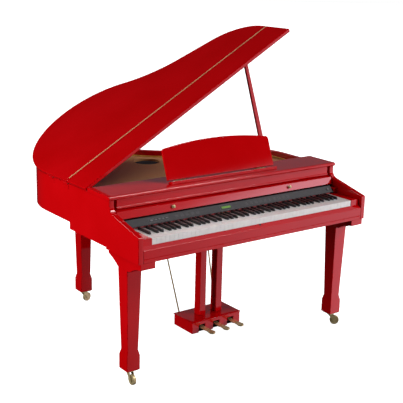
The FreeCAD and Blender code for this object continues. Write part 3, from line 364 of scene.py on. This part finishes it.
eased("soundboard", 0.0012, spruce, "soundboard_wood")

gilt = mottled(
    "gilt_moulding", 120, 3, (0.70, 0.44, 0.08), (0.86, 0.60, 0.16), 0.35, (0.1, 0.0003),
    {"Metallic": 0.35})
eased("rim_trim", 0.0016, gilt, "brass")

# ---------------------------------------------------------------- speaker
# A loudspeaker fixed under the round hole in the soundboard: a pressed basket and magnet, a rubber
# roll round a pulp cone and a domed dust cap.
cone_black = mottled(
    "speaker_black", 600, 4, (0.008, 0.008, 0.009), (0.022, 0.022, 0.024), 0.75, (0.2, 0.0003))


def spun(bm, profile, centre, axis=(0, 0, 1), steps=32):
    """Turns a profile of (radius, height) pairs about an axis through a centre, as on a lathe."""
    turn = Vector((0, 0, 1)).rotation_difference(Vector(axis)).to_matrix().to_4x4()
    set_up = Matrix.Translation(centre) @ turn
    row = [bm.verts.new(set_up @ Vector((radius, 0, height))) for radius, height in profile]
    edges = [bm.edges.new(pair) for pair in zip(row, row[1:])]
    bmesh.ops.spin(
        bm, geom=row + edges, cent=centre, axis=set_up.to_3x3() @ Vector((0, 0, 1)),
        angle=math.tau, steps=steps, use_merge=True, dvec=(0, 0, 0))
    return row


def closed(bm):
    """Merges the poles and turns every face outwards."""
    bmesh.ops.remove_doubles(bm, verts=bm.verts, dist=1e-6)
    bmesh.ops.recalc_face_normals(bm, faces=bm.faces)
    return bm


low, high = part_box("speaker")
middle = ((low.x + high.x) / 2, (low.y + high.y) / 2, high.z)
bm = bmesh.new()
spun(bm, (
    (0, -0.064), (0.040, -0.064), (0.042, -0.062), (0.042, -0.045), (0.036, -0.044),
    (0.068, -0.006), (0.079, -0.0045), (0.080, -0.003), (0.080, -0.0012), (0.0788, 0),
    (0.0665, 0), (0.0645, -0.0012), (0.0625, 0), (0.0590, 0), (0.0560, -0.0030),
    (0.0550, -0.005), (0.040, -0.016), (0.024, -0.028), (0.0215, -0.029), (0.019, -0.0265),
    (0.012, -0.0222), (0, -0.0205)), middle, steps=64)
fit(closed(bm), "speaker_piece", cone_black, "root", "black_plastic", "speaker")

# ---------------------------------------------------------------- fixed top panel and nameboard
# The board over the keyboard has a round nose and carries the ledge for music. Below it stands the
# bare nameboard, with a moulding along its foot. All in the case's red polyester.
eased("top_panel", 0.0018, red, "red_lacquer")
eased("nameboard", 0.0022, red, "red_lacquer", steps=3)

# ---------------------------------------------------------------- music desk
# A lacquered board with an arched top and soft edges, which leans on two brass barrel hinges.
# Each hinge has a leaf screwed to the top panel.
eased("music_desk", 0.004, red, "red_lacquer", "music_desk", steps=3)

brass, nodes, links, shader = paint("polished_brass")
noise, ramp = mottle(nodes, links, 60, 3, (0.66, 0.52, 0.26), (0.78, 0.63, 0.34))
links.new(ramp.outputs["Color"], shader.inputs["Base Color"])
shader.inputs["Metallic"].default_value = 0.5
links.new(spread(noise.outputs["Fac"], 0, 1, 0.30, 0.42), shader.inputs["Roughness"])
relief(nodes, links, shader, noise.outputs["Fac"], 0.04, 0.0003)
eased("desk_hinges", 0.0004, brass, "brass")

# ---------------------------------------------------------------- lid
# Two leaves that follow the case's plan, lacquered on both sides. A strip hinge with a brass barrel
# joins the front flap to the main lid; its leaves and the two side hinges are sprayed red.
eased("lid_main", 0.0034, red, "red_lacquer", "lid", steps=3)
eased("lid_flap", 0.0034, red, "red_lacquer", "lid_flap", steps=3)
eased("flap_hinge_leaf", 0.0003, red, "red_lacquer", "lid_flap", steps=1)
eased("lid_case_hinges", 0.0003, red, "red_lacquer", steps=1)
strip_y = (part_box("lid_flap")[1].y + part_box("lid_main")[0].y) / 2
strip_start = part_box("lid_case_hinges")[0].x + 0.01
barrel_half, bare_metal = 0.0021, 0.3
strip, nodes, links, shader = paint("strip_hinge_brass")
noise, ramp = mottle(nodes, links, 45, 3, (0.90, 0.68, 0.30), (1.0, 0.80, 0.42))
at = nodes.new("ShaderNodeSeparateXYZ")
links.new(nodes["Texture Coordinate"].outputs["Object"], at.inputs["Vector"])
on_barrel = chain(
    "MULTIPLY", math_of("COMPARE", at.outputs["Y"], strip_y, barrel_half),
    math_of("GREATER_THAN", at.outputs["X"], strip_start))
sprayed = nodes.new("ShaderNodeMix")
sprayed.data_type = "RGBA"
sprayed.inputs["A"].default_value = (0.54, 0.0, 0.002, 1)
links.new(on_barrel, sprayed.inputs["Factor"])
links.new(ramp.outputs["Color"], sprayed.inputs["B"])
links.new(sprayed.outputs["Result"], shader.inputs["Base Color"])
links.new(math_of("MULTIPLY", on_barrel, bare_metal), shader.inputs["Metallic"])
shader.inputs["Roughness"].default_value = 0.36
relief(nodes, links, shader, noise.outputs["Fac"], 0.04, 0.0003)
eased("lid_brass_hinges", 0.0003, strip, "brass", "lid", steps=1)

# ---------------------------------------------------------------- prop stick
# A tapered red stick that turns on a pin in a brass clevis on the soundboard. Its tip stands at a
# block screwed under the lid.
eased("prop_stick", 0.0058, red, "red_lacquer", "prop", steps=4)
eased("prop_bracket", 0.0005, brass, "brass")
eased("prop_cup", 0.0012, red, "red_lacquer", "lid")

# ---------------------------------------------------------------- key slip, cheeks and felt
# The grooved rail in front of the keys and a block at each end of the keyboard, lacquered red, with
# a small black lock let into the rail. A strip of red felt lies behind the keys, under the panel.
eased("key_slip_and_cheeks", 0.0026, red, "red_lacquer", steps=3)

slip_low, slip_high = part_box("key_slip_and_cheeks")
lock_back, lock_rise = 0.0145, 0.0532
slip_slope = Vector((0, -16, 19)).normalized()
lock_foot = Vector((
    (slip_low.x + slip_high.x) / 2, slip_low.y + lock_back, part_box("keybed")[1].z + lock_rise))
bm = bmesh.new()
spun(bm, (
    (0, -0.001), (0.0052, -0.001), (0.0055, 0.0004), (0.0050, 0.0009), (0.0030, 0.0011),
    (0.0022, 0.0004), (0, 0.0004)), lock_foot, slip_slope)
fit(closed(bm), "slip_lock", cone_black, "root", None)

felt = mottled(
    "red_felt", 2500, 5, (0.20, 0.004, 0.008), (0.50, 0.02, 0.03), 1.0, (0.6, 0.0006),
    {"Sheen Weight": 0.6, "Sheen Roughness": 0.5})
eased("key_felt", 0.001, felt, "red_felt")

# ---------------------------------------------------------------- white keys
# Fifty-two moulded white keys with a gloss top, square to the eye but eased at every edge, cut
# away at the back to let the black keys between them.
ivory = mottled(
    "white_key_gloss", 30, 3, (0.78, 0.78, 0.75), (0.84, 0.84, 0.81), 0.22,
    sockets={"Subsurface Weight": 0.05})
pitted(ivory, 700, 2, 0.03, 0.0002)
for note in "cdefgab":
    eased(f"keys_{note}", 0.0009, ivory, "white_key", f"keys_{note}")

# ---------------------------------------------------------------- black keys
# Thirty-six satin black sharps, each narrower at the top than at the foot, with a sloped front
# and well rounded edges.
ebony = mottled(
    "black_key_satin", 60, 3, (0.010, 0.010, 0.011), (0.020, 0.019, 0.020), 0.3)
pitted(ebony, 1400, 2, 0.05, 0.0002)
top_share = 0.82
for note in "cdfga":
    name = f"keys_{note}_sharp"
    bm = solid_of(name)
    top = max(v.co.z for v in bm.verts)
    left = set(bm.verts)
    while left:
        key, edge = set(), [left.pop()]
        while edge:
            v = edge.pop()
            key.add(v)
            for e in v.link_edges:
                other = e.other_vert(v)
                if other in left:
                    left.discard(other)
                    edge.append(other)
        centre = sum(v.co.x for v in key) / len(key)
        for v in key:
            if v.co.z > top - 0.001:
                v.co.x = centre + (v.co.x - centre) * top_share
    ease(bm, 0.0013, 3)
    fit(bm, f"{name}_piece", ebony, name, "black_key", name)

# ---------------------------------------------------------------- control panel
# A satin black moulded housing behind the keys. Pale lines printed on its sloping face frame the
# buttons, with a scale of ticks round the volume knob. The fallboard's rails and the boxes of the
# electronics are moulded of the same plastic.
housing = mottled(
    "panel_black", 1800, 3, (0.012, 0.012, 0.013), (0.026, 0.026, 0.028), 0.46, (0.22, 0.0002))
eased("control_panel", 0.0009, housing, "black_plastic")
eased("fallboard_rails", 0.0012, housing, "black_plastic")
eased("electronics", 0.0015, housing, "black_plastic")

print_pale = mottled("panel_print", 900, 2, (0.13, 0.13, 0.13), (0.20, 0.20, 0.20), 0.5)

panel_low, panel_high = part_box("control_panel")
keybed_low, keybed_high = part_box("keybed")
centre_x = (keybed_low.x + keybed_high.x) / 2
slope = math.radians(39.5)
slope_foot = Vector((centre_x, panel_low.y, panel_low.z + 0.005))
slope_turn = Matrix.Rotation(slope, 4, "X")
half_slope = (panel_high.z - slope_foot.z) / math.sin(slope) / 2
panel_frame = Matrix.Translation(slope_foot) @ slope_turn


def slab(bm, low, high, turn=Matrix()):
    """A block between two corners, then turned."""
    size = [b - a for a, b in zip(low, high)]
    at = [(a + b) / 2 for a, b in zip(low, high)]
    bmesh.ops.create_cube(
        bm, size=1, matrix=turn @ Matrix.Translation(at) @ Matrix.Diagonal((*size, 1)))


def on_slope(bm, x, y, out, frame=panel_frame):
    """A block on the panel's slope, between two values across it, up it and out of it."""
    slab(bm, *zip(sorted(x), sorted(y), out), frame)


bm = bmesh.new()
printed = (-0.00012, 0.00012)
line_half, bar_long, bar_half, tick_half = 0.00035, 0.008, 0.0004, 0.0004
frames = ((-0.515, -0.491, 0.0105), (-0.488, -0.408, 0.0105), (-0.106, -0.032, 0.0145))
for x_low, x_high, rise in frames:
    rows = (half_slope - rise, half_slope + rise)
    for y in rows:
        on_slope(bm, (x_low, x_high), (y - line_half, y + line_half), printed)
    for x in (x_low, x_high):
        on_slope(bm, (x - line_half, x + line_half), rows, printed)
column_gap, row_gap = 0.03, 0.006
left_columns = [-0.36 + column_gap * number for number in range(5)]
right_columns = [0.06 + column_gap * number for number in range(10)]
for x in left_columns + right_columns:
    for y in (half_slope - row_gap, half_slope, half_slope + row_gap):
        on_slope(bm, (x - bar_long, x + bar_long), (y - bar_half, y + bar_half), printed)
knob_low, knob_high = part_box("volume_knob")
knob_x = (knob_low.x + knob_high.x) / 2 - centre_x
first_tick, tick_apart, ticks = -135, 27, 11
tick_reach = (0.0092, 0.0118)
for number in range(ticks):
    angle = math.radians(first_tick + tick_apart * number)
    knob_frame = panel_frame @ Matrix.Translation((knob_x, half_slope, 0))
    tick_frame = knob_frame @ Matrix.Rotation(-angle, 4, "Z")
    on_slope(bm, (-tick_half, tick_half), tick_reach, printed, tick_frame)
fit(bm, "panel_printing", print_pale, "root", None)

# ---------------------------------------------------------------- window, buttons and volume knob
# A clear window with a green lit display behind it, a power button, four select buttons and a
# ribbed volume knob with a pointer, all moulded in dark grey or black.
lit, nodes, links, shader = paint("lit_display")
place = nodes.new("ShaderNodeTexCoord")
mapping = nodes.new("ShaderNodeMapping")
mapping.vector_type = "TEXTURE"
mapping.inputs["Rotation"].default_value = (slope, 0, 0)
mapping.inputs["Location"].default_value = slope_foot
cells = nodes.new("ShaderNodeTexBrick")
cells.offset = 0
cells.inputs["Scale"].default_value = 1
cells.inputs["Brick Width"].default_value = 0.0034
cells.inputs["Row Height"].default_value = 0.0055
cells.inputs["Mortar Size"].default_value = 0.0004
cells.inputs["Color1"].default_value = (0.04, 0.11, 0.002, 1)
cells.inputs["Color2"].default_value = (0.055, 0.15, 0.003, 1)
cells.inputs["Mortar"].default_value = (0.10, 0.25, 0.006, 1)
links.new(place.outputs["Object"], mapping.inputs["Vector"])
links.new(mapping.outputs["Vector"], cells.inputs["Vector"])
links.new(cells.outputs["Color"], shader.inputs["Base Color"])
links.new(cells.outputs["Color"], shader.inputs["Emission Color"])
shader.inputs["Emission Strength"].default_value = 0.75
shader.inputs["Roughness"].default_value = 0.12
shader.inputs["Coat Weight"].default_value = 1.0
window_low, window_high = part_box("display_window")
window_x = (window_low.x + window_high.x) / 2 - centre_x
window_half = (window_high.x - window_low.x) / 2
window_rise = 0.010
bezel_wide = 0.0042
bezel_deep = (0.0012, 0.00165)
bm = bmesh.new()
across = (window_x - window_half, window_x + window_half)
on_slope(bm, across, (half_slope - window_rise, half_slope + window_rise), (0, 0.0015))
ease(bm, 0.0006)
fit(bm, "display_window_piece", lit, "root", "display_glass", "display_window")

bm = bmesh.new()
bezel_in = window_rise - bezel_wide
for side in (-1, 1):
    on_slope(
        bm, across, (half_slope + side * bezel_in, half_slope + side * window_rise), bezel_deep)
    edge = window_x + side * window_half
    on_slope(
        bm, (edge - side * bezel_wide, edge), (half_slope - bezel_in, half_slope + bezel_in),
        bezel_deep)
fit(bm, "display_bezel", housing, "root", None)

grey = mottled(
    "button_grey", 1500, 2, (0.10, 0.10, 0.105), (0.15, 0.15, 0.155), 0.42, (0.15, 0.0002))
for node in ("power_button", "select_buttons"):
    eased(node, 0.0008, grey, "button_plastic", node, steps=3)

bm = bmesh.new()
axis = slope_turn @ Vector((0, 0, 1))
centre = panel_frame @ Vector((knob_x, half_slope, 0))
ribs, rib_deep, grip_from = 48, 0.00035, 0.006
spun(bm, (
    (0, -0.006), (0.0029, -0.006), (0.0030, 0.0003), (0.0068, 0.0003), (0.0070, 0.0006),
    (0.0068, 0.0043), (0.0063, 0.0050), (0.0050, 0.0053), (0, 0.0052)), centre, axis, steps=ribs)
closed(bm)
for v in bm.verts:
    arm = v.co - centre
    out = arm - axis * arm.dot(axis)
    if out.length > grip_from:
        spoke = math.atan2(out.dot(slope_turn @ Vector((0, 1, 0))), out.x)
        if round(spoke / math.tau * ribs) % 2:
            v.co -= out.normalized() * rib_deep
fit(bm, "volume_knob_piece", grey, "volume_knob", "button_plastic", "volume_knob")
pointer_from, pointer_to, pointer_out = 0.0012, 0.0060, (0.0051, 0.0053)
bm = bmesh.new()
on_slope(
    bm, (knob_x - tick_half, knob_x + tick_half),
    (half_slope + pointer_from, half_slope + pointer_to), pointer_out)
fit(bm, "volume_pointer", print_pale, "volume_knob", None)

# ---------------------------------------------------------------- fallboard
# The sliding board over the keys, lacquered red, with a leaning lip at its front edge. Two turned
# brass knobs are screwed to the lip to pull it out by.
eased("fallboard", 0.0016, red, "red_lacquer", "fallboard", steps=3)
low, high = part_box("fallboard_knobs")
tilt = math.atan2(33, 13)
out = Vector((0, -math.sin(tilt), math.cos(tilt)))
knob_radius, knob_half_long = 0.008, 0.0065
bm = bmesh.new()
for x in (low.x + knob_radius, high.x - knob_radius):
    foot = Vector((x, (low.y + high.y) / 2, (low.z + high.z) / 2)) - out * knob_half_long
    spun(bm, (
        (0, 0.0002), (0.0072, 0.0002), (0.0076, 0.0008), (0.0070, 0.0016), (0.0042, 0.0026),
        (0.0036, 0.0042), (0.0044, 0.0058), (0.0068, 0.0072), (0.0079, 0.0092), (0.0078, 0.0108),
        (0.0064, 0.0123), (0.0036, 0.0129), (0, 0.0130)), foot, out)
fit(closed(bm), "fallboard_knobs_piece", brass, "fallboard", "brass", "fallboard_knobs")

# ---------------------------------------------------------------- legs and knee brackets
# Square legs that taper to a neck and flare to a foot block, in red polyester, each screwed up
# into the case. A curved knee bracket fills the corner over each front leg.
eased("legs", 0.0026, red, "red_lacquer", steps=3, sharp=20)
bracket_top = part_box("knee_brackets")[1].z
eased("knee_brackets", 0.0018, red, "red_lacquer", where=lambda p: p.z < bracket_top - 0.001)

# ---------------------------------------------------------------- casters
# A square brass plate with a stem under each leg, a pressed brass fork that swivels on it and a
# turned brass wheel with a narrow tread, which runs on a pin.
wheel_half = (
    (0.00305, 0.0090), (0.0075, 0.0090), (0.0080, 0.0084), (0.0085, 0.0066), (0.0175, 0.0060),
    (0.0190, 0.0072), (0.0215, 0.0080), (0.0238, 0.0078), (0.0247, 0.0066), (0.0250, 0.0045))
wheel_end = (0.00305, -0.0090)
eased("caster_plates", 0.0012, brass, "brass")
for end in ("bass", "treble", "tail"):
    eased(f"caster_fork_{end}", 0.0009, brass, "brass", f"caster_fork_{end}")
    name = f"caster_wheel_{end}"
    low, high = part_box(name)
    centre = (low + high) / 2
    axle = next(
        Vector((f.normal.x, f.normal.y, 0)).normalized()
        for f in sorted(frame["nodes"][name].data.polygons, key=lambda f: -f.area)
        if abs(f.normal.z) < 0.001 and f.area > 1e-6)
    bm = bmesh.new()
    spun(bm, (
        *((radius, -half) for radius, half in wheel_half), *reversed(wheel_half), wheel_end),
        centre, axle, steps=48)
    fit(closed(bm), f"{name}_piece", brass, name, "brass", name)

# ---------------------------------------------------------------- pedal lyre
# Two square posts on a head board carry the pedal box. Its cap slopes at the border and stands a
# little proud. A black sheet across its open bottom is painted shade for the pedal openings. Two
# brass rods with flanges brace it to the case.
eased("lyre_frame", 0.0022, red, "red_lacquer", steps=3)
bm = solid_of("pedal_box")
box_low, box_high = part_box("pedal_box")
cap = max(bm.faces, key=lambda f: (round(f.calc_center_median().z, 4), f.calc_area()))
cap_border, cap_fall = 0.020, 0.0045
bmesh.ops.inset_region(bm, faces=[cap], thickness=cap_border, depth=0)
level = set(cap.verts)
for v in bm.verts:
    if v.co.z > box_high.z - 0.0005 and v not in level:
        v.co.z -= cap_fall
ease(bm, 0.0014, 3, sharp=20)
fit(bm, "pedal_box_piece", red, "root", "red_lacquer", "pedal_box")
# A black sheet laid across the box's bottom: painted shade that stands for the dark inside the box.
bm = bmesh.new()
shade_sheet_inset = Vector((0.0165, 0.0165, 0))
shade_sheet_thick = 0.002
shade_sheet_corner = Vector((box_high.x, box_high.y, box_low.z + shade_sheet_thick))
slab(bm, box_low + shade_sheet_inset, shade_sheet_corner - shade_sheet_inset)
ease(bm, 0.0005, 1)
fit(bm, "pedal_box_shade_sheet", cone_black, "root", None)
eased("lyre_brass_rods", 0.0007, brass, "brass")

# ---------------------------------------------------------------- pedals
# Three cast brass pedals with round toes, each pivoted on the pin inside the box. Feet have rubbed
# their tops to a brighter polish than the rest of the fittings.
rubbed_brass = mottled(
    "rubbed_brass", 45, 3, (0.74, 0.54, 0.23), (0.94, 0.74, 0.40), 0.2, (0.05, 0.0004),
    {"Metallic": 0.7})
for name in ("pedal_soft", "pedal_sostenuto", "pedal_sustain"):
    eased(name, 0.0034, rubbed_brass, "brass", name, steps=4)
